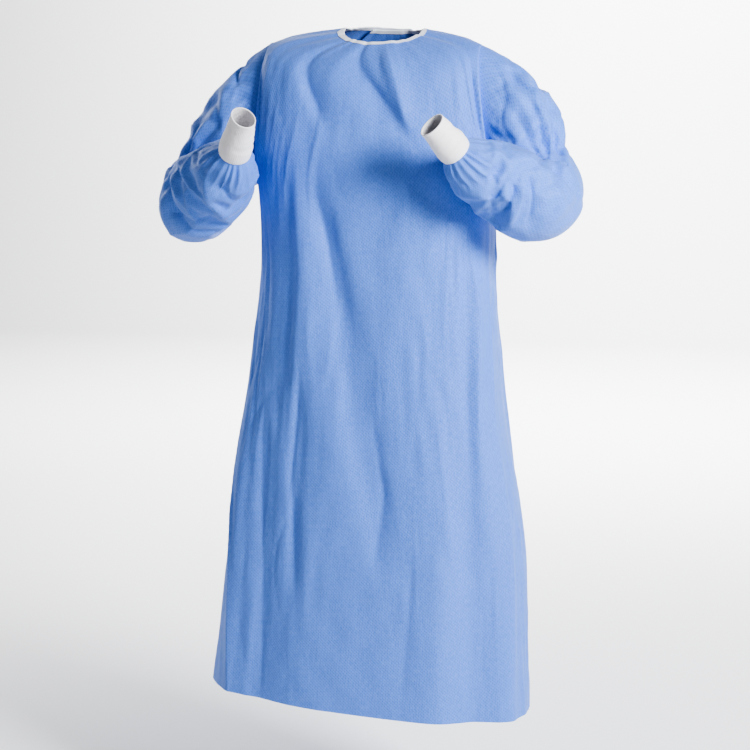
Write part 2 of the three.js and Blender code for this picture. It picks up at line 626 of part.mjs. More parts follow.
// The bow: two flat loops, pinched where they are knotted.
function tieBow() {
  const steps = 2 * (BOW.to - BOW.from);
  const layer = (lift) =>
    [0, 0.5, 1].map((up) =>
      Array.from({ length: steps + 1 }, (_, step) => {
        const share = lerp(0.012, 0.988, step / steps);
        const knot = Math.exp(-(((share - 0.5) / 0.12) ** 2));
        const height = lerp(up, 0.5, BOW.pinch * knot);
        const place = lerp(BOW.from, BOW.to, share);
        const column = Math.min(Math.floor(place), BOW.to - 1);
        const [low, high] = [TIE_ROW, TIE_ROW + 1].map((row) =>
          onPanel(rightBack, row, column, lift(up, share)).lerp(
            onPanel(rightBack, row, column + 1, lift(up, share)),
            place - column,
          ),
        );
        return low.lerp(high, height);
      }),
    );
  const loops = (share) => Math.sin(2 * Math.PI * share) ** 2;
  const top = (up, share) => (up === 0.5 ? lerp(BOW.middle, BOW.loop, loops(share)) : BOW.middle / 2);
  return wallGeometry(layer(top), layer(() => 2 * SEAM_GAP), false, 1);
}

const gown = new THREE.Group();
gown.add(
  piece("front", panelWall(frontPanel), MATERIALS.blue),
  piece("back_left", panelWall(leftBack), MATERIALS.blue),
  piece("back_right", panelWall(rightBack), MATERIALS.blue),
  piece("neck_binding", neckBinding(), MATERIALS.tape),
  piece("tie_left", tieLeft(), MATERIALS.blue),
  piece("tie_right", tieRight(), MATERIALS.blue),
  piece("tie_bow", tieBow(), MATERIALS.blue),
);
for (const end of TIE_ENDS) {
  gown.add(piece(`tie_end_${end.name}`, tieEnd(end), MATERIALS.blue));
}
for (const arm of ARMS) {
  const sleeve = sleeveTube(arm);
  gown.add(
    piece(`sleeve_${arm.name}`, tubeWall(sleeve, CLOTH, arm), MATERIALS.blue),
    piece(`cuff_${arm.name}`, tubeWall(cuffTube(arm, sleeve.end), KNIT, arm), MATERIALS.knit),
  );
}

export default gown;
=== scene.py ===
import math

import bmesh
import bpy
import numpy as np
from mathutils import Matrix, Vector, noise


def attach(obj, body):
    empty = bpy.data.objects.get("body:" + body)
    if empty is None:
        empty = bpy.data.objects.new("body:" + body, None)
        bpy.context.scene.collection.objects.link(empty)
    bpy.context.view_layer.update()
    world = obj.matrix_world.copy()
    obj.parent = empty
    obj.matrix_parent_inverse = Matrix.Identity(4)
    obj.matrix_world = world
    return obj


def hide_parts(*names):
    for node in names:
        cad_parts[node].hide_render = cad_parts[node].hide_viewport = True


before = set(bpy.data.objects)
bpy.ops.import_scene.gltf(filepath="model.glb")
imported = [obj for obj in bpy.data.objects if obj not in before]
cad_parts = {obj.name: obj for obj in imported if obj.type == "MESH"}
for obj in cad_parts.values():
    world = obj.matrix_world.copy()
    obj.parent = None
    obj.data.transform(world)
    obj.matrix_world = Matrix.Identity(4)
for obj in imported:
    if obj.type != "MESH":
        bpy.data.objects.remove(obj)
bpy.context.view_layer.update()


# The front is one wide panel of blue nonwoven, spunbonded polypropylene outside and meltblown inside.
# It is cut in a flare from armhole to hem and hangs from the shoulders in long soft folds, with
# sharper creases where it was pressed flat in its pack.
# Lengths are in millimetres until a mesh is made of them; walls and the spacing of textures are in metres.
MM = 0.001
CLOTH_WALL = 0.0006
SEAM_GAP = 0.05

# Sections below the arms, hem first, in millimetres: level, middle, half width, reach in front, reach
# behind, place of the side seam, squareness.
SKIRT = np.array(
    [
        (-1206, -13, 299, 138, 160, 10, 0.87),
        (-1080, -7, 289, 134, 158, 10, 0.87),
        (-910, 0, 274, 130, 152, 8, 0.87),
        (-790, -2, 260, 129, 146, 7, 0.86),
        (-666, -1, 237, 128, 138, 6, 0.84),
        (-425, 6, 210, 130, 116, 4, 0.78),
        (-393, 7, 208, 131, 114, 4, 0.76),
        (-258, 6, 212, 138, 118, 2, 0.68),
    ]
)
SKIRT_STEPS = (18, 24, 17, 18, 34, 5, 19)
# Rows over the shoulder, from its tip to the neck: middle, half width, seam y and z, middle of the
# front y and z, middle of the back y and z, scoop of the row.
YOKE = np.array(
    [
        (2, 191, 4, -22, -114, -80, 106, -54, 0),
        (5, 160, 5, -10, -102, -62, 97, -36, 0.2),
        (9, 124, 6, -2, -87, -46, 86, -18, 0.5),
        (15, 84, 8, 4, -69, -32, 74, -3, 0.9),
        (16, 72, 8, 6, -61, -24, 66, 6, 1),
    ]
)
YOKE_STEPS = (5, 6, 6, 4)
YOKE_SQUARE = 0.88
ARMHOLE_STEPS = 56
ARMHOLE_FRONT, ARMHOLE_BACK = 72, 76
UNDERARM = sum(SKIRT_STEPS)
SHOULDER = UNDERARM + ARMHOLE_STEPS
HALF_COLUMNS = 108
SMOOTHING = 120


def smoothstep(value, low, high):
    share = np.clip((value - low) / (high - low), 0, 1)
    return share * share * (3 - 2 * share)


def mix(start, end, share):
    return start + (end - start) * share


def strides(points, way):
    """Lengths of the steps between neighbouring points along one way of their grid."""
    return np.linalg.norm(np.diff(points, axis=way), axis=-1)


def running(lengths):
    """Distances from the first point of a line, from the lengths of its steps."""
    return np.concatenate([[0], np.cumsum(lengths)])


def on_curve(table, row, share):
    """A table's columns between two of its rows, on a curve through the rows around it."""
    last = len(table) - 1
    before, start, end, after = (table[min(max(row + step, 0), last)] for step in (-1, 0, 1, 2))
    enter, leave, rise = (end - before) / 2, (after - start) / 2, end - start
    return start + share * (enter + share * (3 * rise - 2 * enter - leave + share * (enter + leave - 2 * rise)))


def body_rows(front):
    """Rows from hem to neck: middle, half, end y and z, middle y and z, squareness, scoop."""
    rows = []
    for index, steps in enumerate(SKIRT_STEPS):
        for step in range(steps):
            level, middle, half, ahead, behind, side, square = on_curve(SKIRT, index, step / steps)
            rows.append((middle, half, side, level, -ahead if front else behind, level, square, 0))
    chest, tip = SKIRT[-1], YOKE[0]
    mid_y, mid_z = (tip[4], tip[5]) if front else (tip[6], tip[7])
    for step in range(ARMHOLE_STEPS):
        share = step / ARMHOLE_STEPS
        angle = math.pi * (share - 0.5)
        rise = (1 + math.sin(angle)) / 2
        reach = -ARMHOLE_FRONT if front else ARMHOLE_BACK
        rows.append(
            (
                mix(chest[1], tip[0], share),
                mix(chest[2], tip[1], rise),
                mix(chest[5], tip[2], rise) + reach * math.cos(angle),
                mix(chest[0], tip[3], rise),
                mix(-chest[3] if front else chest[4], mid_y, share * share),
                mix(chest[0], mid_z, share),
                mix(chest[6], YOKE_SQUARE, smoothstep(share, 0, 0.5)),
                0,
            )
        )
    for index, steps in enumerate(YOKE_STEPS):
        last = index == len(YOKE_STEPS) - 1
        for step in range(steps + last):
            row = on_curve(YOKE, index, step / steps)
            mid = row[4:6] if front else row[6:8]
            rows.append((*row[:4], *mid, YOKE_SQUARE, row[8]))
    return np.array(rows)


def body_surface(front, acrosses):
    """The smooth cloth as a grid of points; across runs from -1 at the right side to 1 at the left."""
    middle, half, end_y, end_z, mid_y, mid_z, square, scoop = body_rows(front).T[:, :, None]
    turn = np.pi / 2 * np.abs(acrosses)[None]
    sine, cosine = np.sin(turn), np.maximum(np.cos(turn), 0)
    bow = 1 - cosine**square
    x = middle + np.sign(acrosses) * half * sine**square
    level = mix(mid_z, end_z, mix(sine**2, bow, scoop))
    tilt = mix(0.03, 0.05, smoothstep(-level, 600, 1206))
    points = np.stack([x, mix(mid_y, end_y, bow), level - tilt * x], -1)
    inside = smoothstep(1 - np.abs(acrosses), 0, 0.22)[None, :, None]
    for _ in range(SMOOTHING):
        drift = (points[2:] + points[:-2]) / 2 - points[1:-1]
        points[1:-1] += 0.5 * inside * drift
    return points


def outward(points, closed=False, facing=1):
    """Unit directions out of a grid of points."""
    if closed:
        along = np.roll(points, -1, 1) - np.roll(points, 1, 1)
    else:
        along = np.gradient(points, axis=1)
    normals = np.cross(along, np.gradient(points, axis=0)) * facing
    return normals / np.maximum(np.linalg.norm(normals, axis=-1, keepdims=True), 1e-9)


# Half width of the rounded top of a crease.
CREST = 1.0


def from_line(line, across, level, begin):
    """Signed distance from a fold's line, and how strong the fold is there: it grows over its first
    part and dies out over its last."""
    from_x, from_y, to_x, to_y = line
    run_x, run_y = to_x - from_x, to_y - from_y
    length = math.hypot(run_x, run_y)
    share = ((across - from_x) * run_x + (level - from_y) * run_y) / length**2
    away = ((across - from_x) * run_y - (level - from_y) * run_x) / length
    return away, smoothstep(share, 0, begin) * (1 - smoothstep(share, min(0.62, 2 * begin), 1))


def fold_height(folds, across, level, begin=0.38):
    """Height of soft folds over the flat cloth, each steeper on one side: line, width and depth."""
    height = np.zeros_like(across)
    for index, (*line, width, depth) in enumerate(folds):
        away, strength = from_line(line, across, level, begin)
        lean = 0.35 if index % 2 else -0.35
        height += depth * strength * np.exp(-((away / (width * (1 + lean * np.tanh(away / width)))) ** 2))
    return height


def crease_height(creases, across, level, begin=0.38):
    """Height of pressed creases: a sharp ridge or trough with hollow flanks: line, width and depth."""
    height = np.zeros_like(across)
    for *line, width, depth in creases:
        away, strength = from_line(line, across, level, begin)
        height += depth * strength * np.exp((CREST - np.hypot(away, CREST)) / width)
    return height


def rumple(across, level, wide, tall, seed):
    """Uneven small waves between -1 and 1, of about these sizes."""
    places = np.stack([across / wide, level / tall, np.full_like(across, seed)], -1).reshape(-1, 3)
    return np.array([noise.noise(place) for place in places]).reshape(across.shape)


def ridges(waves, sharpness):
    """Thin sharp ridges along the lines where uneven waves pass through nought."""
    return np.exp(-np.abs(waves) * sharpness)


def finer(values, axis, closed):
    """Values on a grid with one more point between each two, on a curve through their neighbours."""
    values = np.moveaxis(values, axis, 0)
    count = len(values)
    places = np.arange(count if closed else count - 1)
    around = [places + step for step in (-1, 0, 1, 2)]
    near = [values[at % count if closed else np.clip(at, 0, count - 1)] for at in around]
    result = np.empty((2 * len(places) + (not closed), *values.shape[1:]))
    result[0 : 2 * len(places) : 2] = values[places]
    result[1 : 2 * len(places) : 2] = (9 * (near[1] + near[2]) - near[0] - near[3]) / 16
    if not closed:
        result[-1] = values[-1]
    return np.moveaxis(result, 0, axis)


BUCKLE_FRAMES = 30


def settled(points, cut, held, hold, spare, closed, halvings=1):
    """Cloth that is cut larger than its place, let buckle by simulation. Where held is 1 it is sewn
    down, elsewhere it is drawn softly to its place; cut gives its unstretched shape, and spare the
    part by which that is larger all ways."""
    step = 2**halvings
    place, slack_cut, sewn = points[::2, ::step], cut[::2, ::step], held[::2, ::step]
    rows, columns = place.shape[:2]
    order = np.arange(rows * columns).reshape(rows, columns)
    if closed:
        order = np.hstack([order, order[:, :1]])
    faces = np.stack([order[:-1, :-1], order[:-1, 1:], order[1:, 1:], order[1:, :-1]], -1).reshape(-1, 4)
    mesh = bpy.data.meshes.new("slack_cloth")
    mesh.from_pydata((place.reshape(-1, 3) * MM).tolist(), [], faces.tolist())
    slack = bpy.data.objects.new("slack_cloth", mesh)
    bpy.context.collection.objects.link(slack)
    slack.shape_key_add(name="place")
    slack.shape_key_add(name="cut").data.foreach_set("co", (slack_cut.reshape(-1) * MM).astype(np.float32))
    group = slack.vertex_groups.new(name="sewn")
    for vertex, weight in enumerate(np.maximum(sewn, hold).ravel()):
        group.add([vertex], float(weight), "REPLACE")
    buckle = slack.modifiers.new("buckle", "CLOTH").settings
    buckle.quality = 5
    buckle.mass = 0.2
    buckle.tension_stiffness = buckle.compression_stiffness = 15
    buckle.shear_stiffness = 8
    buckle.bending_stiffness = 8
    buckle.tension_damping = buckle.compression_damping = buckle.shear_damping = 10
    buckle.air_damping = 3
    buckle.vertex_group_mass = "sewn"
    buckle.pin_stiffness = 10
    buckle.rest_shape_key = slack.data.shape_keys.key_blocks["cut"]
    buckle.shrink_min = -spare
    buckle.effector_weights.gravity = 0.1
    for frame_number in range(1, BUCKLE_FRAMES + 1):
        bpy.context.scene.frame_set(frame_number)
    shown = slack.evaluated_get(bpy.context.evaluated_depsgraph_get()).to_mesh()
    result = np.empty(rows * columns * 3, np.float32)
    shown.vertices.foreach_get("co", result)
    bpy.data.objects.remove(slack)
    bpy.context.scene.frame_set(1)
    move = finer(result.reshape(rows, columns, 3) / MM - place, 0, False)
    for _ in range(halvings):
        move = finer(move, 1, closed)
    return points + move


# Folds of the body, each with its start, end, width and depth. A place is in degrees round the body, from
# the middle of the front towards the left, and level. A fold of positive depth stands out.
MM_PER_DEGREE = 3.6
BODY_FOLDS = [
    (-44, -5, -8, -200, 17, -6),
    (-15, -10, 24, -210, 17, -6.5),
    (6, -5, 28, -220, 16, 5),
    (58, -30, 72, -230, 14, -6),
    (80, -60, 84, -300, 14, 5),
    (-70, -40, -72, -250, 15, -5),
    (-23, -180, -26, -740, 22, 9),
    (-16, -210, 0, -620, 19, -9),
    (-8, -400, 10, -1010, 20, -9),
    (-21, -500, -26, -1180, 18, -5),
    (-46, -480, -28, -1480, 28, -9),
    (-68, -460, -46, -1480, 30, 8),
    (64, -290, 50, -980, 23, 9),
    (30, -660, 24, -1520, 34, 10),
    (44, -640, 44, -1540, 28, -10),
    (70, -600, 62, -1500, 26, 8),
    (116, -280, 122, -1560, 34, 14),
    (138, -300, 147, -1560, 32, -14),
    (160, -340, 165, -1560, 28, 10),
    (-110, -280, -117, -1560, 34, -12),
    (-132, -290, -140, -1560, 34, 14),
    (-158, -320, -162, -1560, 30, -11),
    (118, -440, 140, -130, 24, 8),
    (144, -440, 156, -160, 22, -7),
    (-116, -440, -138, -120, 24, 8),
    (-140, -440, -154, -170, 22, -7),
]
BODY_CREASES = [
    (-43, -6, -14, -170, 9, -3.5),
    (-14, -10, 20, -170, 9, -4),
    (11, -12, 23, -200, 9, 3.5),
    (70, -40, 82, -220, 8, -5),
    (60, -60, 72, -240, 8, 4),
    (-80, -50, -70, -230, 8, -4),
    (-23, -560, -27, -860, 7, -5),
    (-27, -720, -19, -1080, 7, -4.5),
    (4, -650, 9, -860, 7, -5),
    (9, -760, 4, -960, 7, -4.5),
    (-17, -230, -5, -540, 8, -4.5),
    (65, -360, 52, -780, 9, 4),
    (-50, -560, -30, -1300, 9, -3.5),
    (-80, -560, -40, -1390, 8, 5),
    (30, -560, 35, -980, 9, 3),
    (19, -860, 14, -1240, 8, -3.5),
    (78, -420, 72, -700, 9, 3.5),
    (-58, -300, -50, -560, 9, -3),
    (112, -390, 119, -900, 9, 4.5),
    (129, -430, 139, -1020, 9, -5),
    (151, -510, 159, -1110, 9, 4),
    (123, -780, 129, -1330, 9, -4.5),
    (-117, -390, -125, -1000, 9, -4.5),
    (-139, -420, -147, -960, 9, 5),
    (-125, -740, -131, -1320, 9, 4.5),
    (117, -60, 129, -270, 9, -4.5),
    (139, -30, 151, -200, 9, 4.5),
    (-115, -60, -127, -280, 9, -4.5),
    (-151, -40, -139, -210, 9, 4),
]


def spread(rows, per_degree, per_unit=1):
    """A table of folds with both its places in millimetres of cloth."""
    return [
        (a * per_degree, b * per_unit, c * per_degree, d * per_unit, width, depth)
        for a, b, c, d, width, depth in rows
    ]


ROOM = 0.03
PANEL_HOLD = 0.12


def body_panel(front, acrosses, lift):
    """A panel of the body with its folds: points, outward directions and places on the flat cloth."""
    smooth = body_surface(front, acrosses)
    rows = np.arange(len(smooth))
    sewn = (rows <= UNDERARM) | (rows >= SHOULDER)
    at_side = np.abs(acrosses) == 1

    def directions(points):
        normals = outward(points)
        for column in np.flatnonzero(at_side):
            normals[sewn, column, 1] = 0
        return normals / np.linalg.norm(normals, axis=-1, keepdims=True)

    side = np.where(acrosses < 0, -1, 1)
    angle = 90 * acrosses if front else side * (180 - 90 * np.abs(acrosses))
    across = np.broadcast_to(angle * MM_PER_DEGREE, smooth.shape[:2])
    level = smooth[..., 2]
    run = np.concatenate([np.zeros((len(smooth), 1)), np.cumsum(strides(smooth, 1), 1)], 1)
    rise = running(strides(smooth[:, len(acrosses) // 2], 0))
    rise = np.broadcast_to(rise[:, None], run.shape)
    from_seam = np.full(run.shape, 1e3)
    if at_side[0]:
        from_seam = np.minimum(from_seam, run)
    if at_side[-1]:
        from_seam = np.minimum(from_seam, run[:, -1:] - run)
    height = fold_height(spread(BODY_FOLDS, MM_PER_DEGREE), across, level)
    height += crease_height(spread(BODY_CREASES, MM_PER_DEGREE), across, level)
    height += 2.2 * rumple(across, level, 46, 260, 3 + front) + 1.1 * rumple(across, level, 24, 60, 9 + front)
    below_chest = smoothstep(-level, 60, 300)
    patches = below_chest * (0.4 + 1.2 * rumple(across, level, 90, 260, 51 + front))
    height += 1.5 * rumple(across, level, 13, 120, 14 + front) * patches
    height += 2.4 * ridges(rumple(across, level, 70, 420, 41 + front), 12) * patches
    height -= 2.0 * ridges(rumple(across, level, 110, 300, 61 + front), 16) * patches
    pucker = np.exp(-from_seam / 16)
    height += pucker * (1.2 * rumple(from_seam, rise, 60, 15, 21 + front) - 0.4)
    height = height * smoothstep(from_seam, -12, 12) + lift(acrosses)
    points = smooth + directions(smooth) * height[..., None]
    points[:, at_side, 1] += (-1 if front else 1) * SEAM_GAP / 2
    cut = points * np.array((1 + ROOM, 1 + ROOM, 1.005))
    sewn_down = np.exp(-((from_seam / 10) ** 2))
    sewn_down[-8:] = 1
    points = settled(points, cut, sewn_down, PANEL_HOLD, spare=0, closed=False, halvings=2)
    return {
        "points": points,
        "cut": cut,
        "normals": directions(points),
        "acrosses": acrosses,
        "flat": np.stack([run - run[:, [np.argmin(np.abs(acrosses))]], rise], -1),
    }


def linear(colour):
    """An sRGB hex colour as linear red, green, blue and alpha."""
    channels = [int(colour[at : at + 2], 16) / 255 for at in (1, 3, 5)]
    return [c / 12.92 if c <= 0.04045 else ((c + 0.055) / 1.055) ** 2.4 for c in channels] + [1]


def new_material(name):
    """A material with no nodes yet."""
    material = bpy.data.materials.new(name)
    material.use_nodes = True
    material.node_tree.nodes.clear()
    return material


def add_node(owner, kind, sockets, **settings):
    """A shader node with its settings; a socket takes a value, or a link from another node's output."""
    node = owner.node_tree.nodes.new("ShaderNode" + kind)
    for name, value in settings.items():
        setattr(node, name, value)
    for socket, value in sockets.items():
        if isinstance(value, bpy.types.NodeSocket):
            owner.node_tree.links.new(value, node.inputs[socket])
        else:
            node.inputs[socket].default_value = value
    return node


def wave_scale(spacing):
    """The scale of a wave texture whose bands lie this far apart."""
    return 2 * math.pi / 20 / spacing


# Spunbonded polypropylene: matt, a little fibrous, pressed all over with rows of tiny bonding points
# that give it a faint slanting line. The points are 1 mm apart, drawn 4.2 mm apart to show.
BOND_STEP = 0.0042
nonwoven = new_material("blue_spunbonded_polypropylene")
flat_place = add_node(nonwoven, "UVMap", {}, uv_map="cloth")
bond_turn = add_node(
    nonwoven, "Mapping", {"Vector": flat_place.outputs["UV"], "Rotation": (0, 0, math.radians(38))}
)
bond_rows, bond_columns = (
    add_node(
        nonwoven,
        "TexWave",
        {"Vector": bond_turn.outputs["Vector"], "Scale": wave_scale(BOND_STEP), "Distortion": 0.6, "Detail": 1},
        bands_direction=way,
    )
    for way in "XY"
)
bond_points = add_node(
    nonwoven, "Math", {0: bond_rows.outputs["Fac"], 1: bond_columns.outputs["Fac"]}, operation="MULTIPLY"
)


def drawn_out(slant, width, length, roughness):
    """Noise drawn out along the cloth, at a slant in degrees."""
    place = add_node(
        nonwoven,
        "Mapping",
        {
            "Vector": flat_place.outputs["UV"],
            "Rotation": (0, 0, math.radians(slant)),
            "Scale": (width, length, 1),
        },
        vector_type="TEXTURE",
    )
    sockets = {"Vector": place.outputs["Vector"], "Scale": 1, "Detail": 3, "Roughness": roughness}
    return add_node(nonwoven, "TexNoise", sockets)


fibres = drawn_out(8, 0.0026, 0.008, 0.6)
streaks = drawn_out(5, 0.009, 0.05, 0.5)
clouds = add_node(
    nonwoven,
    "TexNoise",
    {"Vector": flat_place.outputs["UV"], "Scale": 1 / 0.045, "Detail": 3, "Roughness": 0.55},
)
cloud_tone = add_node(
    nonwoven,
    "Mix",
    {"Factor": clouds.outputs["Fac"], "A": linear("#4d7cd3"), "B": linear("#5987dd")},
    data_type="RGBA",
)
fibre_tone = add_node(
    nonwoven,
    "MapRange",
    {"Value": fibres.outputs["Fac"], "From Min": 0.3, "From Max": 0.7, "To Min": 0.0, "To Max": 0.65},
)
fibre_mix = add_node(
    nonwoven,
    "Mix",
    {"Factor": fibre_tone.outputs["Result"], "A": cloud_tone.outputs["Result"], "B": linear("#7a9cec")},
    data_type="RGBA",
)
bond_tone = add_node(
    nonwoven,
    "MapRange",
    {"Value": bond_points.outputs["Value"], "From Min": 0.35, "From Max": 0.9, "To Min": 0.0, "To Max": 0.5},
)
bond_mix = add_node(
    nonwoven,
    "Mix",
    {"Factor": bond_tone.outputs["Result"], "A": fibre_mix.outputs["Result"], "B": linear("#3a67c2")},
    data_type="RGBA",
)
bond_bump = add_node(
    nonwoven,
    "Bump",
    {"Strength": 0.5, "Distance": 0.0005, "Height": bond_points.outputs["Value"]},
    invert=True,
)
streak_bump = add_node(
    nonwoven,
    "Bump",
    {
        "Strength": 0.5,
        "Distance": 0.0014,
        "Height": streaks.outputs["Fac"],
        "Normal": bond_bump.outputs["Normal"],
    },
)
crumple = add_node(
    nonwoven,
    "TexVoronoi",
    {"Vector": flat_place.outputs["UV"], "Scale": 1 / 0.05, "Randomness": 1.0},
    feature="SMOOTH_F1",
)
crumple_bump = add_node(
    nonwoven,
    "Bump",
    {
        "Strength": 0.18,
        "Distance": 0.008,
        "Height": crumple.outputs["Distance"],
        "Normal": streak_bump.outputs["Normal"],
    },
)
nonwoven_shader = add_node(
    nonwoven,
    "BsdfPrincipled",
    {
        "Base Color": bond_mix.outputs["Result"],
        "Roughness": 0.7,
        "IOR": 1.49,
        "Specular IOR Level": 0.5,
        "Sheen Weight": 0.15,
        "Sheen Roughness": 0.5,
        "Normal": crumple_bump.outputs["Normal"],
    },
)
add_node(nonwoven, "OutputMaterial", {"Surface": nonwoven_shader.outputs["BSDF"]})


def sew(name, points, flat, material, wall, closed=False, facing=1, round_edge=False):
    """A sheet object from a grid of points in millimetres, its wall going inwards."""
    rows, columns = points.shape[:2]
    place = np.arange(rows * columns).reshape(rows, columns)
    if closed:
        place = np.hstack([place, place[:, :1]])
    flat_order = np.arange(rows * place.shape[1]).reshape(rows, -1)

    def corners(order):
        around = [order[:-1, :-1], order[:-1, 1:], order[1:, 1:], order[1:, :-1]]
        return np.stack(around[::facing], -1).reshape(-1, 4)

    mesh = bpy.data.meshes.new(name)
    mesh.from_pydata((points.reshape(-1, 3) * MM).tolist(), [], corners(place).tolist())
    uv = mesh.uv_layers.new(name="cloth").uv
    uv.foreach_set("vector", (flat.reshape(-1, 2)[corners(flat_order).ravel()] * MM).ravel())
    mesh.polygons.foreach_set("use_smooth", [True] * len(mesh.polygons))
    if not round_edge:
        shape = bmesh.new()
        shape.from_mesh(mesh)
        for edge in shape.edges:
            edge.smooth = not edge.is_boundary
        shape.to_mesh(mesh)
        shape.free()
    mesh.materials.append(material)
    cloth = bpy.data.objects.new(name, mesh)
    bpy.context.collection.objects.link(cloth)
    solid = cloth.modifiers.new("wall", "SOLIDIFY")
    solid.thickness = wall
    solid.offset = -1
    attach(cloth, "root")
    return cloth


front_panel = body_panel(True, np.linspace(-1, 1, 2 * HALF_COLUMNS + 1), np.zeros_like)
front = sew("gown_front", front_panel["points"], front_panel["flat"], nonwoven, CLOTH_WALL)
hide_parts("front")


# The two backs are panels of the same nonwoven, each sewn to the front at the side and the shoulder.
# They wrap over each other behind, the right one outside.
OVERLAP = 0.3
OVERLAP_LIFT = 7
EDGE_LIFT = 2.8
CLEARANCE = 1.4
BACK_COLUMNS = 140


def on_back(panel, row, across, lift):
    """A point over a back panel at a row, which may lie between two, and a place across."""
    acrosses = panel["acrosses"]
    column = np.clip((across - acrosses[0]) / (acrosses[1] - acrosses[0]), 0, len(acrosses) - 1.001)
    row = np.minimum(np.asarray(row, float), len(panel["points"]) - 1.001)
    row, column, lift = np.broadcast_arrays(row, column, lift)
    low, left = np.floor(row).astype(int), np.floor(column).astype(int)
    up, over = (row - low)[..., None], (column - left)[..., None]

    def between(values):
        lower = mix(values[low, left], values[low, left + 1], over)
        return mix(lower, mix(values[low + 1, left], values[low + 1, left + 1], over), up)

    return between(panel["points"]) + between(panel["normals"]) * lift[..., None]


left_back_panel = body_panel(False, np.linspace(1, -OVERLAP, BACK_COLUMNS + 1), np.zeros_like)
back_left = sew("gown_back_left", left_back_panel["points"], left_back_panel["flat"], nonwoven, CLOTH_WALL)
right_back_panel = body_panel(
    False,
    np.linspace(OVERLAP, -1, BACK_COLUMNS + 1),
    lambda across: mix(
        OVERLAP_LIFT * smoothstep(across, -0.8, -OVERLAP), EDGE_LIFT, smoothstep(across, -0.1, OVERLAP)
    ),
)
shared = right_back_panel["acrosses"] >= -OVERLAP
levels = np.arange(len(right_back_panel["points"]))[:, None]
under = on_back(left_back_panel, levels, right_back_panel["acrosses"][shared], 0.0)
away = on_back(left_back_panel, levels, right_back_panel["acrosses"][shared], 1.0) - under
gap = ((right_back_panel["points"][:, shared] - under) * away).sum(-1)
right_back_panel["points"][:, shared] += away * np.maximum(CLEARANCE - gap, 0)[..., None]
back_right = sew("gown_back_right", right_back_panel["points"], right_back_panel["flat"], nonwoven, CLOTH_WALL)
for back, panel in ((back_left, left_back_panel), (back_right, right_back_panel)):
    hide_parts(back.name.removeprefix("gown_"))


# The sleeves are tubes of the nonwoven, set into the armholes with a plain seam and gathered at the
# wrist into the cuff. The arms are bent, so the cloth bunches inside the elbows.
SHOULDER_SHARE = 0.34
ELBOW_ROUND = 52
CUFF_RUN = 70
SLEEVE_LENGTH = 480
SLEEVE_MM_PER_DEGREE = 1.1
SLEEVE_RINGS = 120
ARM_JOINT = np.array((190, 5, -70))
UPPER_REACH = 68
PATH_STEPS = 300
ARMS = {
    "left": {
        "sign": 1,
        "elbow": np.array((332, -30, -320)),
        "wrist": np.array((185, -205, -212)),
        "mouth": np.array((155, -243, -172)),
        "crown": np.array((65, 0, 21)),
        "creases": [
            (40, 0.38, 18, 0.0, -14),
            (50, 0.38, 36, 0.0, 9),
            (56, 0.39, 50, 0.02, -14),
            (68, 0.4, 70, 0.06, 9),
            (78, 0.42, 92, 0.1, -12),
            (86, 0.43, 120, 0.16, 8),
            (95, 0.44, 145, 0.26, -10),
            (108, 0.83, 235, 0.95, -10),
            (118, 0.81, 250, 0.89, 8),
            (118, 0.8, 252, 0.84, -12),
            (120, 0.785, 248, 0.76, 8),
            (118, 0.77, 246, 0.7, -14),
            (114, 0.75, 240, 0.62, 9),
            (108, 0.72, 205, 0.56, -14),
            (88, 0.64, 165, 0.51, 8),
            (68, 0.59, 150, 0.46, -12),
        ],
    },
    "right": {
        "sign": -1,
        "elbow": np.array((-335, -30, -315)),
        "wrist": np.array((-178, -250, -212)),
        "mouth": np.array((-146, -300, -160)),
        "crown": np.array((-22, 0, 31)),
        "creases": [
            (60, 0.41, 16, 0.1, -14),
            (70, 0.42, 42, 0.13, 9),
            (82, 0.43, 66, 0.12, -14),
            (94, 0.44, 98, 0.14, 9),
            (106, 0.45, 130, 0.2, -12),
            (90, 0.67, 190, 0.85, -14),
            (96, 0.65, 215, 0.72, 9),
            (102, 0.63, 228, 0.58, -14),
            (112, 0.58, 225, 0.49, 9),
            (84, 0.56, 150, 0.46, -12),
            (170, 0.95, 275, 0.76, -12),
            (150, 0.9, 262, 0.68, 8),
        ],
    },
}
# Sections of a sleeve: share of its length, reach sideways, into the elbow and out of it.
SLEEVE = np.array(
    [
        (0, 100, 82, 82),
        (0.17, 84, 78, 80),
        (0.34, 68, 52, 72),
        (0.45, 72, 32, 84),
        (0.55, 70, 46, 78),
        (0.72, 64, 58, 64),
        (0.88, 50, 50, 50),
        (0.95, 37, 37, 37),
        (1, 23.6, 23.6, 23.6),
    ]
)
# Folds of both sleeves, spread from the inside of the elbow: degrees from it over the arm, and share.
SLEEVE_FOLDS = [
    (40, 0.44, 110, 0.12, 15, -5),
    (58, 0.46, 145, 0.64, 15, 5),
    (-45, 0.43, -105, 0.22, 14, -7),
    (-52, 0.45, -140, 0.39, 15, 6),
    (-50, 0.48, -145, 0.6, 14, -7),
    (-70, 0.6, -10, 0.92, 15, -6),
    (-150, 0.1, -165, 0.4, 16, 6),
]
SLEEVE_CREASES = [
    (15, 0.455, 165, 0.45, -7),
    (-24, 0.45, -110, 0.2, -7),
    (-36, 0.45, -125, 0.31, 6),
    (-26, 0.465, -140, 0.47, -7.5),
    (-30, 0.475, -90, 0.76, -7),
]
SLEEVE_CREASE_WIDTH = 9
ELBOW_BEGIN = 0.16
CREASE_SHARE = 0.75
SLEEVE_HOLD = 0.12
SLEEVE_ROOM = 0.05


def unit(direction):
    return direction / np.linalg.norm(direction)


def square_to(direction, heading):
    return unit(direction - heading * direction.dot(heading))


def bezier(a, b, c, d, share):
    share = share[:, None]
    return (
        a * (1 - share) ** 3 + 3 * b * share * (1 - share) ** 2 + 3 * c * share**2 * (1 - share) + d * share**3
    )


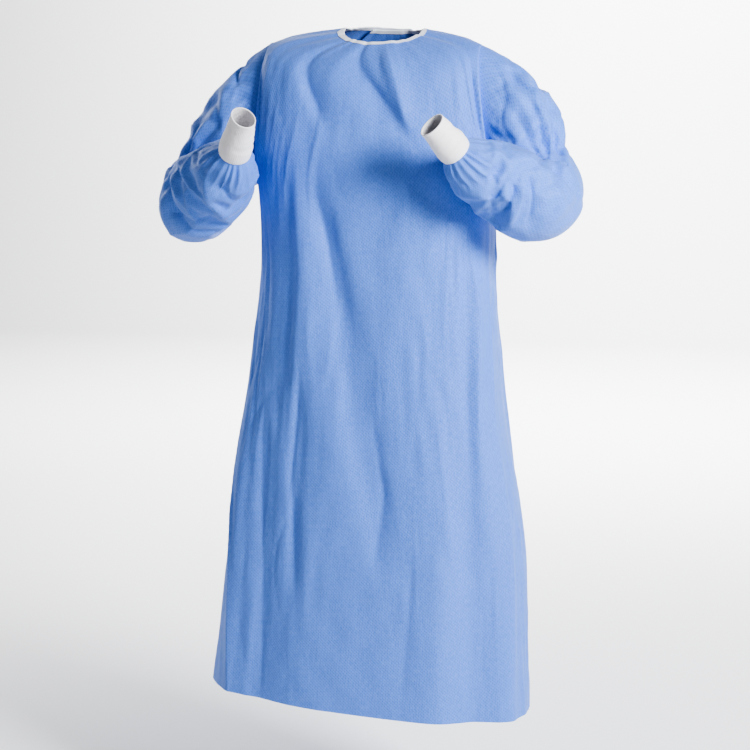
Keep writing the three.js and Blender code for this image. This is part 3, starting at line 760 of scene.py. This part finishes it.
def at_share(table, share):
    row = int(np.clip(np.searchsorted(table[:, 0], share) - 1, 0, len(table) - 2))
    part = (share - table[row, 0]) / (table[row + 1, 0] - table[row, 0])
    return on_curve(table, row, part)


def sleeve_tube(arm, ring):
    """A sleeve from its armhole's ring of points: its points, end frame and the height of its creases."""
    sign = arm["sign"]
    joint = ARM_JOINT * (sign, 1, 1)
    upper, fore = unit(arm["elbow"] - joint), unit(arm["wrist"] - arm["elbow"])
    cuff = unit(arm["mouth"] - arm["wrist"])
    bend = math.acos(upper.dot(fore))
    cut, handle = ELBOW_ROUND * math.tan(bend / 2), 4 / 3 * ELBOW_ROUND * math.tan(bend / 4)
    start, end = arm["elbow"] - upper * cut, arm["elbow"] + fore * cut
    steps = np.linspace(0, 1, PATH_STEPS)
    path = np.vstack(
        [
            bezier(start, start + upper * handle, end - fore * handle, end, steps),
            bezier(end, end + fore * CUFF_RUN, arm["wrist"] - cuff * CUFF_RUN, arm["wrist"], steps)[1:],
        ]
    )
    run = running(strides(path, 0))
    tangents = np.gradient(path, run, axis=0)

    def on_path(values, part):
        return np.array([np.interp(part * run[-1], run, column) for column in values.T])

    inwards = square_to(np.array((-sign, 0, 0)), upper)
    front = np.cross(upper, inwards) * -sign
    crease_angle = math.atan2((fore - upper).dot(front), (fore - upper).dot(inwards))
    count = len(ring)
    under_end, over_end = start + inwards * UPPER_REACH, start - inwards * UPPER_REACH
    over_start = ring[count // 2]
    crown = (over_start + over_end) / 2 + arm["crown"]
    first_front = front
    angles = 2 * np.pi * np.arange(count) / count
    points, creased, first = [], [], None
    sleeve_folds = spread(SLEEVE_FOLDS, SLEEVE_MM_PER_DEGREE, SLEEVE_LENGTH)
    creases = [(*line, SLEEVE_CREASE_WIDTH, depth) for *line, depth in SLEEVE_CREASES + arm["creases"]]
    sleeve_creases = spread(creases, SLEEVE_MM_PER_DEGREE, SLEEVE_LENGTH)
    for share in np.linspace(0, 1, SLEEVE_RINGS + 1):
        side, inner, outer = at_share(SLEEVE, share)[1:]
        if share < SHOULDER_SHARE:
            part = share / SHOULDER_SHARE
            low = mix(ring[0], under_end, part)
            high = over_start * (1 - part) ** 2 + 2 * crown * part * (1 - part) + over_end * part**2
            middle, half = (low + high) / 2, np.linalg.norm(low - high) / 2
            ring_in = unit(low - high)
            ring_front = square_to(mix(np.array((0, -1, 0)), first_front, part), ring_in)
            heading = np.cross(ring_in, ring_front) * -sign
        else:
            part = (share - SHOULDER_SHARE) / (1 - SHOULDER_SHARE)
            heading = unit(on_path(tangents, part))
            inwards = square_to(inwards, heading)
            front = np.cross(heading, inwards) * -sign
            middle, half, ring_in, ring_front = on_path(path, part), side, inwards, front
        if first is None:
            first = (middle, ring_in, ring_front, heading, half)
        keep = 1 - smoothstep(share, 0, SHOULDER_SHARE)
        crease = mix(crease_angle, np.pi / 2, keep)
        angle = angles - crease
        bendwards = np.cos(angle) * np.where(np.cos(angle) > 0, inner, outer)
        sideways = np.sin(angle) * half
        from_elbow = (np.degrees(angle) + 180) % 360 - 180
        along = np.full(count, share * SLEEVE_LENGTH)
        fold, crease_here = np.zeros(count), np.zeros(count)
        for over in (from_elbow * SLEEVE_MM_PER_DEGREE, (from_elbow + 360) * SLEEVE_MM_PER_DEGREE):
            fold += fold_height(sleeve_folds, over, along, ELBOW_BEGIN)
            crease_here += crease_height(sleeve_creases, over, along, ELBOW_BEGIN)
        gather_start = 0.85 + 0.05 * np.sin(4 * angles + 1.3 + sign) + 0.02 * np.sin(11 * angles)
        gather = smoothstep(share, gather_start, 0.965) * mix(3.2, 0.4, smoothstep(share, 0.96, 1))
        pleat = 17 * angles + 1.1 * np.sin(3 * angles + sign) + 0.8 * np.sin(5 * angles + 2.1)
        uneven = 0.7 + 0.4 * np.sin(4 * angles + 0.7)
        wave = gather * uneven * (np.cos(pleat) + 0.3 * np.cos(2 * pleat)) + fold
        ring_x = bendwards * math.cos(crease) - sideways * math.sin(crease) + wave * np.cos(angles)
        ring_y = bendwards * math.sin(crease) + sideways * math.cos(crease) + wave * np.sin(angles)
        offset = ring - first[0]
        ring_x = mix(ring_x, offset @ first[1] * half / first[4], keep)
        ring_y = mix(ring_y, offset @ first[2], keep)
        ring_z = keep * (offset @ first[3])
        points.append(
            middle + ring_x[:, None] * ring_in + ring_y[:, None] * ring_front + ring_z[:, None] * heading
        )
        creased.append(crease_here)
    return np.array(points), (heading, ring_in, ring_front), np.array(creased)


def armhole_ring(arm):
    """The armhole's edge from the underarm up the front to the shoulder and down the back."""
    front_column, back_panel, back_column = (
        (-1, left_back_panel, 0) if arm["sign"] > 0 else (0, right_back_panel, -1)
    )
    up = front_panel["points"][UNDERARM : SHOULDER + 1, front_column]
    down = back_panel["points"][UNDERARM : SHOULDER + 1, back_column]
    ring = np.vstack([(up[:1] + down[:1]) / 2, up[1:-1], (up[-1:] + down[-1:]) / 2, down[-2:0:-1]])
    return ring + np.array((arm["sign"] * SEAM_GAP, 0, 0))


def tube_flat(points):
    """Places on the flat cloth of a tube: round it and along it, with a last column at the seam."""
    around = np.concatenate([points, points[:, :1]], 1)
    run = running(strides(around, 1).mean(0))
    rise = running(strides(points, 0).mean(1))
    return np.stack(np.broadcast_arrays(run[None], rise[:, None]), -1)


sleeve_ends = {}
for side, arm in ARMS.items():
    points, sleeve_ends[side], creased = sleeve_tube(arm, armhole_ring(arm))
    shares = np.linspace(0, 1, SLEEVE_RINGS + 1)
    held = np.maximum(1 - smoothstep(shares, 0.0, 0.12), smoothstep(shares, 0.88, 0.95))
    held = held[:, None] + np.zeros(points.shape[1])
    crumples = np.array([noise.noise(place) for place in points.reshape(-1, 3) / 105]).reshape(held.shape)
    pressed = np.array([noise.noise(place) for place in points.reshape(-1, 3) / 80 + 7]).reshape(held.shape)
    height = (3 * ridges(crumples, 11) - 2.6 * ridges(pressed, 13)) * (1 - held)
    points = points + outward(points, True, -arm["sign"]) * height[..., None]
    points = settled(points, points, held, SLEEVE_HOLD, SLEEVE_ROOM, closed=True)
    points = points + outward(points, True, -arm["sign"]) * (CREASE_SHARE * creased * (1 - held))[..., None]
    sleeve = sew(
        f"gown_sleeve_{side}", points, tube_flat(points), nonwoven, CLOTH_WALL, closed=True, facing=-arm["sign"]
    )
    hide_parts(f"sleeve_{side}")


# The cuffs are tubes of white cotton and polyester rib knit, stretched a little where they are sewn
# to the sleeve and slack towards the mouth, with small rolls across them.
KNIT_WALL = 0.0018
CUFF_RIBS = 52
CUFF_POINTS = 4 * CUFF_RIBS
CUFF_RINGS = 60
CUFF = np.array(
    [
        (-0.08, 26.8, 26.6),
        (0.02, 28, 27.2),
        (0.16, 28.2, 26.6),
        (0.32, 27, 25.2),
        (0.5, 25.6, 23.4),
        (0.68, 24, 21.6),
        (0.84, 23, 20),
        (1, 23.2, 19.6),
    ]
)
CUFF_WIDE_ANGLE = math.radians(120)
SLACK_ANGLE = {"left": 2.0, "right": 0.6}
LOOP_STEP = 0.0016

# Rib knit of bulked white yarn: soft matt ribs with darker furrows between, and rows of small loops
# in each rib. The loops are 0.8 mm apart, drawn 1.6 mm apart to show.
rib_knit = new_material("white_rib_knit")
knit_place = add_node(rib_knit, "UVMap", {}, uv_map="cloth")
loops = add_node(
    rib_knit,
    "TexWave",
    {"Vector": knit_place.outputs["UV"], "Scale": wave_scale(LOOP_STEP), "Distortion": 1.5, "Detail": 1},
    bands_direction="Y",
)
yarn = add_node(
    rib_knit, "TexNoise", {"Vector": knit_place.outputs["UV"], "Scale": 1 / 0.0015, "Detail": 3}
)
knit_tone = add_node(
    rib_knit,
    "Mix",
    {"Factor": yarn.outputs["Fac"], "A": linear("#e6e4ea"), "B": linear("#faf9fb")},
    data_type="RGBA",
)
loop_bump = add_node(
    rib_knit, "Bump", {"Strength": 0.5, "Distance": 0.0005, "Height": loops.outputs["Fac"]}
)
rib_shader = add_node(
    rib_knit,
    "BsdfPrincipled",
    {
        "Base Color": knit_tone.outputs["Result"],
        "Roughness": 0.92,
        "IOR": 1.5,
        "Specular IOR Level": 0.25,
        "Sheen Weight": 0.35,
        "Normal": loop_bump.outputs["Normal"],
    },
)
add_node(rib_knit, "OutputMaterial", {"Surface": rib_shader.outputs["BSDF"]})

for side, arm in ARMS.items():
    heading, ring_in, ring_front = sleeve_ends[side]
    angles = 2 * np.pi * np.arange(CUFF_POINTS) / CUFF_POINTS
    points = []
    for share in np.linspace(CUFF[0, 0], 1, CUFF_RINGS + 1):
        wide, narrow = at_share(CUFF, share)[1:]
        angle = angles - CUFF_WIDE_ANGLE
        slack_side = 0.35 + 0.65 * smoothstep(np.cos(angles - SLACK_ANGLE[side]), -0.5, 0.9)
        waves = np.array([noise.noise((math.cos(a), math.sin(a), 4.6 * share + arm["sign"])) for a in angles])
        between_ends = smoothstep(share, 0.02, 0.2) * (1 - smoothstep(share, 0.75, 0.98))
        roll = 3.4 * slack_side * (0.4 - np.abs(waves)) * between_ends
        rib = 0.2 * np.cos(CUFF_RIBS * angles) + roll
        wide_way, narrow_way = (wide + rib) * np.cos(angle), (narrow + rib) * np.sin(angle)
        x = wide_way * math.cos(CUFF_WIDE_ANGLE) - narrow_way * math.sin(CUFF_WIDE_ANGLE)
        y = wide_way * math.sin(CUFF_WIDE_ANGLE) + narrow_way * math.cos(CUFF_WIDE_ANGLE)
        middle = arm["wrist"] + heading * SEAM_GAP + (arm["mouth"] - arm["wrist"]) * share
        points.append(middle + x[:, None] * ring_in + y[:, None] * ring_front)
    points = np.array(points)
    cuff = sew(
        f"gown_cuff_{side}",
        points,
        tube_flat(points),
        rib_knit,
        KNIT_WALL,
        closed=True,
        facing=-arm["sign"],
        round_edge=True,
    )
    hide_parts(f"cuff_{side}")


# The neck binding is a strip of soft white nonwoven folded over the neck edge and sewn down through
# both faces with a line of lockstitch.
BINDING_OUT = 0.9
CLOTH_IN = 0.6
BINDING_ROWS = 2
BINDING_STEPS = 6
BINDING_WALL = 0.0004
STITCH_IN, STITCH_STEP, STITCH_WIDTH = 0.0014, 0.0035, 0.0007

# Binding tape: white, soft and matt; its colour is tinted with painted blue light reflected from the gown
# beside it.
# The stitches are a darker dashed line near its lower edge: painted shade where the white thread pulls into the
# tape.
binding_cloth = new_material("white_binding_tape")
tape_place = add_node(binding_cloth, "UVMap", {}, uv_map="cloth")
tape_fibres = add_node(
    binding_cloth, "TexNoise", {"Vector": tape_place.outputs["UV"], "Scale": 1 / 0.002, "Detail": 3}
)
# Both tones are bluish whites: the tape's white with a painted cast of blue light reflected from the gown.
tape_tone = add_node(
    binding_cloth,
    "Mix",
    {"Factor": tape_fibres.outputs["Fac"], "A": linear("#d5dcea"), "B": linear("#f1f4fa")},
    data_type="RGBA",
)
tape_split = add_node(binding_cloth, "SeparateXYZ", {"Vector": tape_place.outputs["UV"]})
along_stitch = add_node(
    binding_cloth, "Math", {0: tape_split.outputs["X"], 1: 1 / STITCH_STEP}, operation="MULTIPLY"
)
part_of_stitch = add_node(binding_cloth, "Math", {0: along_stitch.outputs["Value"]}, operation="FRACT")
in_stitch = add_node(
    binding_cloth, "Math", {0: part_of_stitch.outputs["Value"], 1: 0.7}, operation="LESS_THAN"
)
on_line = add_node(
    binding_cloth,
    "Math",
    {0: tape_split.outputs["Y"], 1: STITCH_IN, 2: STITCH_WIDTH / 2},
    operation="COMPARE",
)
# Mask of the dashed stitch line, where painted shade darkens the tape.
stitch_shade_mask = add_node(
    binding_cloth,
    "Math",
    {0: in_stitch.outputs["Value"], 1: on_line.outputs["Value"]},
    operation="MULTIPLY",
)
# Painted shade: the tape is darkened in dashes along the stitch line, where the white thread pulls it in.
tape_tone_with_stitch_shade = add_node(
    binding_cloth,
    "Mix",
    {"Factor": stitch_shade_mask.outputs["Value"], "A": tape_tone.outputs["Result"], "B": linear("#b4bed2")},
    data_type="RGBA",
)
tape_bump = add_node(
    binding_cloth, "Bump", {"Strength": 0.3, "Distance": 0.0004, "Height": tape_fibres.outputs["Fac"]}
)
tape_shader = add_node(
    binding_cloth,
    "BsdfPrincipled",
    {
        "Base Color": tape_tone_with_stitch_shade.outputs["Result"],
        "Roughness": 0.85,
        "IOR": 1.49,
        "Sheen Weight": 0.2,
        "Normal": tape_bump.outputs["Normal"],
    },
)
add_node(binding_cloth, "OutputMaterial", {"Surface": tape_shader.outputs["BSDF"]})


def neck_columns(panel, columns):
    """The neck edge of a panel: points of its last rows and their outward directions."""
    points, normals = panel["points"], panel["normals"]
    edge = points[-1, columns]
    below = points[-1 - BINDING_ROWS, columns]
    return edge, below, normals[-1, columns], normals[-1 - BINDING_ROWS, columns]


neck = [
    neck_columns(left_back_panel, slice(None, 0, -1)),
    neck_columns(front_panel, slice(None, None, -1)),
    neck_columns(right_back_panel, slice(-2, None, -1)),
]
edge, below, edge_out, below_out = (np.concatenate(parts) for parts in zip(*neck))
for values, passes in ((edge, 3), (below, 3), (edge_out, 30), (below_out, 30)):
    for _ in range(passes):
        values[1:-1] = (values[:-2] + 2 * values[1:-1] + values[2:]) / 4
up = (edge - below) / np.linalg.norm(edge - below, axis=-1, keepdims=True)
binding_rows = []
for share in np.linspace(0, 1, BINDING_STEPS + 1):
    binding_rows.append(mix(below, edge, share) + mix(below_out, edge_out, share) * BINDING_OUT)
for step in range(1, BINDING_STEPS):
    angle = math.pi * step / BINDING_STEPS
    reach = BINDING_OUT + CLOTH_IN / 2
    binding_rows.append(
        edge + edge_out * (reach * math.cos(angle) - CLOTH_IN / 2) + up * (0.3 + reach * math.sin(angle))
    )
for share in np.linspace(1, 0, BINDING_STEPS + 1):
    binding_rows.append(mix(below, edge, share) - mix(below_out, edge_out, share) * (BINDING_OUT + CLOTH_IN))
binding_points = np.array(binding_rows)
BINDING_COLUMN = 90
run = running(strides(edge, 0))
width = running(strides(binding_points[:, BINDING_COLUMN], 0))
binding = sew(
    "gown_neck_binding",
    binding_points,
    np.stack(np.broadcast_arrays(run[None], width[:, None]), -1),
    binding_cloth,
    BINDING_WALL,
    facing=-1,
)
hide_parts("neck_binding")


# The waist tie is two straps of folded nonwoven tape, sewn on at the sides and knotted behind in a flat
# bow, with the two ends hanging from it.
TAPE_OUT = 1.0
TIE_LOW = sum(SKIRT_STEPS[:5])
TIE_HIGH = TIE_LOW + SKIRT_STEPS[5]
TIE_MIDDLE = (TIE_LOW + TIE_HIGH) / 2
TIE_WALL = 0.0007
TIE_LINES = 9


def sew_tie(name, points, node, facing, closed=False):
    """A strip of the tie's tape."""
    run = running(strides(points, 1).mean(0))
    rise = running(strides(points, 0).mean(1))
    flat = np.stack(np.broadcast_arrays(run[None], rise[:, None]), -1)
    if closed:
        flat = tube_flat(points)
    strip = sew(name, points, flat, nonwoven, TIE_WALL, closed=closed, facing=facing)
    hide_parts(node)


tie_rows = np.linspace(TIE_LOW, TIE_HIGH, TIE_LINES)[:, None]
crown = 0.8 * np.sin(np.linspace(0, np.pi, TIE_LINES))[:, None]
on_left = np.linspace(0.84, OVERLAP + 0.02, 60)
on_right = np.linspace(OVERLAP, 0.1, 22)
stand = SEAM_GAP + 1.5 * EDGE_LIFT * (1 - smoothstep(on_left, OVERLAP + 0.06, 0.75))
slack = 1.2 * np.sin(np.linspace(0, 9, 60)) * np.sin(np.linspace(0, np.pi, 60))
sewn_on = 0.15 + 0.85 * smoothstep(-on_left, -0.82, -0.7)
left_part = on_back(
    left_back_panel, tie_rows + 0.15 * slack, on_left, stand + sewn_on * (TAPE_OUT + crown + 0.5 + 0.5 * slack)
)
right_part = on_back(right_back_panel, tie_rows, on_right, SEAM_GAP + TAPE_OUT + crown)
sew_tie("gown_tie_left", np.concatenate([left_part, right_part], 1), "tie_left", 1)
on_far = np.linspace(-0.15, -0.84, 70)
slack = np.abs(1.2 * np.sin(np.linspace(0, 8, 70)) * np.sin(np.linspace(0, np.pi, 70)))
sewn_on = 0.15 + 0.85 * smoothstep(on_far, -0.82, -0.7)
sew_tie(
    "gown_tie_right",
    on_back(
        right_back_panel, tie_rows - 0.15 * slack, on_far, SEAM_GAP + sewn_on * (TAPE_OUT + crown + 0.4 * slack)
    ),
    "tie_right",
    1,
)

BOW_FROM, BOW_TO = 0.114, -0.164
bow_middle = (BOW_FROM + BOW_TO) / 2
round_loop = np.linspace(-0.97 * np.pi, 0.97 * np.pi, 61)
for side, tip in (("left", BOW_FROM), ("right", BOW_TO)):
    reach = (1 + np.cos(round_loop)) / 2
    pinch = 1 - 0.5 * np.exp(-((reach / 0.3) ** 2))
    upright = np.linspace(-0.5, 0.5, TIE_LINES)[:, None] * pinch * (0.92 + 0.16 * reach)
    droop = -0.5 * reach**2
    rows = TIE_MIDDLE + (upright + 0.12 * droop) * (TIE_HIGH - TIE_LOW)
    height = 6 + 4.4 * np.sin(round_loop) * (1 + 0.12 * np.cos(3 * round_loop)) + 0 * upright
    loop = on_back(right_back_panel, rows, mix(bow_middle, tip, reach), height)
    sew_tie(f"gown_tie_loop_{side}", loop, "tie_bow", 1 if side == "left" else -1)
wrap = np.linspace(0, 2 * np.pi, 33)[:-1]
knot_across = bow_middle + np.linspace(-0.022, 0.022, TIE_LINES)[:, None]
puff = 1 - 0.25 * np.linspace(-1, 1, TIE_LINES)[:, None] ** 2
knot_rows = TIE_MIDDLE + 1.75 * np.cos(wrap) * puff
knot_height = 6.2 + 5.3 * np.sin(wrap) * puff
knot = on_back(right_back_panel, knot_rows, knot_across, knot_height)
sew_tie("gown_tie_knot", knot, "tie_bow", 1, closed=True)

for side, from_across, low_row in (("left", 0.087, 68), ("right", -0.099, 77)):
    fall = np.linspace(0, 1, 50)[:, None]
    rows = mix(TIE_LOW + 1.0, low_row, fall)
    sway = 0.008 * np.sin(5 * fall + (side == "left"))
    width = np.linspace(0, 0.067, 7)[None]
    slant = 1.6 * fall * np.linspace(0, 1, 7)[None]
    lift = 3 + 1.2 * np.sin(7 * fall) * fall + 0.6 * np.sin(np.linspace(0, np.pi, 7))[None]
    end = on_back(right_back_panel, rows + slant, from_across - width + sway, lift)
    sew_tie(f"gown_tie_end_{side}", end, f"tie_end_{side}", -1)


# The stage is a seamless sweep of pale paper, with a soft lamp on the right a little above the neck, a
# weaker fill from the left, one behind on the left for the edges and a wide one on the paper.
FLOOR = -1.47
SWEEP_SIZE, SWEEP_HEIGHT, SWEEP_ROUND = 18, 9, 6.0
for selected in bpy.context.selected_objects:
    selected.select_set(False)
bpy.ops.mesh.primitive_plane_add(size=SWEEP_SIZE, location=(0, 0, FLOOR))
sweep = bpy.context.active_object
sweep.name = "paper_sweep"
bpy.ops.object.transform_apply(location=True)
bpy.ops.object.mode_set(mode="EDIT")
bpy.ops.mesh.select_all(action="DESELECT")
shape = bmesh.from_edit_mesh(sweep.data)
for edge in shape.edges:
    edge.select_set(all(corner.co.y > 5 for corner in edge.verts))
bmesh.update_edit_mesh(sweep.data)
bpy.ops.mesh.extrude_region_move(TRANSFORM_OT_translate={"value": (0, 0, SWEEP_HEIGHT)})
bpy.ops.mesh.select_all(action="DESELECT")
shape = bmesh.from_edit_mesh(sweep.data)
for edge in shape.edges:
    edge.select_set(all(corner.co.y > 5 and corner.co.z < FLOOR + 0.1 for corner in edge.verts))
bmesh.update_edit_mesh(sweep.data)
bpy.ops.mesh.bevel(offset=SWEEP_ROUND, segments=40)
bpy.ops.object.mode_set(mode="OBJECT")
bpy.ops.object.shade_smooth()
# Background paper: white, matt and uncoated.
paper = new_material("white_paper")
paper_shader = add_node(
    paper, "BsdfPrincipled", {"Base Color": linear("#f4f4f5"), "Roughness": 0.9, "Specular IOR Level": 0.2}
)
add_node(paper, "OutputMaterial", {"Surface": paper_shader.outputs["BSDF"]})
sweep.data.materials.append(paper)

# Each lamp: place, what it points at, width and watts.
LAMPS = {
    "key": ((2.1, -1.5, 0.55), (0, 0, -0.4), 0.8, 122),
    "fill": ((-2.6, -1.6, 0.6), (-0.1, 0, -0.4), 1.6, 13),
    "rim": ((-2.2, 1.3, 0.7), (0, 0, -0.5), 0.9, 38),
    "paper": ((0, 4.4, 3.6), (0, 8.0, -0.6), 5.0, 1200),
}
for name, (place, aim, size, power) in LAMPS.items():
    lamp_data = bpy.data.lights.new(name, "AREA")
    lamp_data.size = size
    lamp_data.energy = power
    lamp = bpy.data.objects.new(name, lamp_data)
    bpy.context.collection.objects.link(lamp)
    lamp.location = place
    lamp.rotation_euler = (Vector(aim) - Vector(place)).to_track_quat("-Z", "Y").to_euler()
world = bpy.data.worlds.new("studio")
world.use_nodes = True
world.node_tree.nodes.clear()
room = add_node(world, "Background", {"Color": linear("#eef1f6"), "Strength": 0.2})
add_node(world, "OutputWorld", {"Surface": room.outputs["Background"]})
bpy.context.scene.world = world
bpy.context.scene.view_settings.view_transform = "AgX"
bpy.context.scene.view_settings.look = "AgX - High Contrast"
bpy.context.scene.view_settings.exposure = -0.15

# The camera stands at the photograph's angle, 3 m off and a little below the shoulders.
camera_data = bpy.data.cameras.new("photo_camera")
camera_data.lens = 80
camera = bpy.data.objects.new("photo_camera", camera_data)
bpy.context.collection.objects.link(camera)
CAMERA_AWAY, CAMERA_LEVEL, CAMERA_DOWN = 3, -0.25, 6.9
azimuth = math.radians(14)
camera.location = (CAMERA_AWAY * math.sin(azimuth), -CAMERA_AWAY * math.cos(azimuth), CAMERA_LEVEL)
camera.rotation_euler = (math.radians(90 - CAMERA_DOWN), 0, azimuth)
bpy.context.scene.camera = camera
